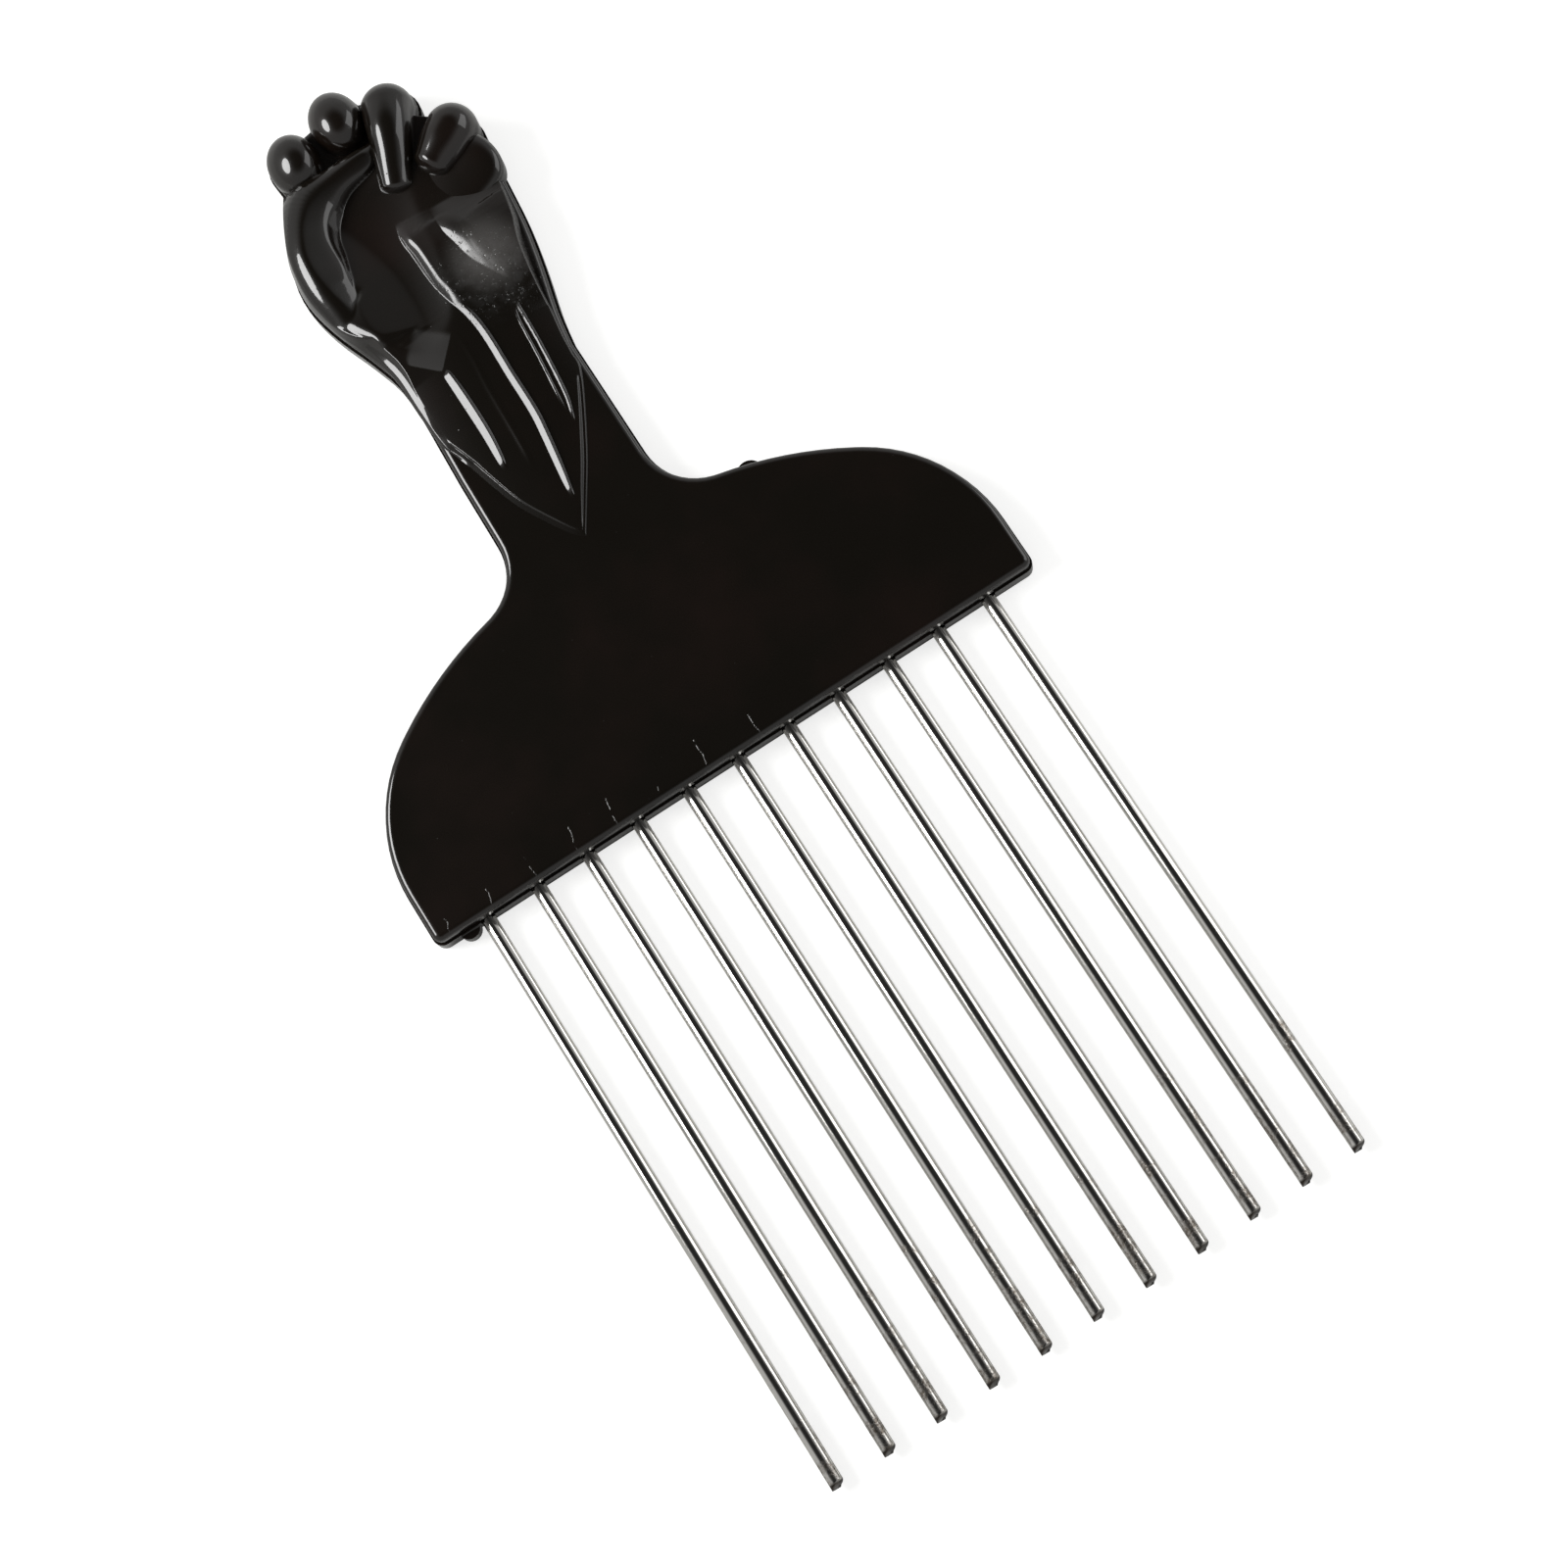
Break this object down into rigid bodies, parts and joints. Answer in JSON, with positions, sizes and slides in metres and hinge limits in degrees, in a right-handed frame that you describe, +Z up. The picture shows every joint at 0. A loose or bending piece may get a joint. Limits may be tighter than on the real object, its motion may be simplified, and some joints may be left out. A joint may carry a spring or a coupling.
{
  "type": "afro pick",
  "caption": "Afro pick: a row of long round steel pins held by their roots between two black moulded halves, whose handle ends in a raised fist.",
  "frame": {"origin": "bottom centre of the bounding box, on the surface that the pick lies on", "axes": "+Z up out of the face that carries the fist, +Y from the pins towards the fist, X across the row of pins"},
  "size_m": [0.0836, 0.177, 0.0094],
  "materials": {
    "black_plastic": "gloss",
    "pin_steel": "satin"
  },
  "bodies": {
    "root": {"front_half": "black_plastic", "rear_half": "black_plastic", "pin_01": "pin_steel", "pin_02": "pin_steel", "pin_03": "pin_steel", "pin_04": "pin_steel", "pin_05": "pin_steel", "pin_06": "pin_steel", "pin_07": "pin_steel", "pin_08": "pin_steel", "pin_09": "pin_steel", "pin_10": "pin_steel", "pin_11": "pin_steel"}
  },
  "joints": []
}
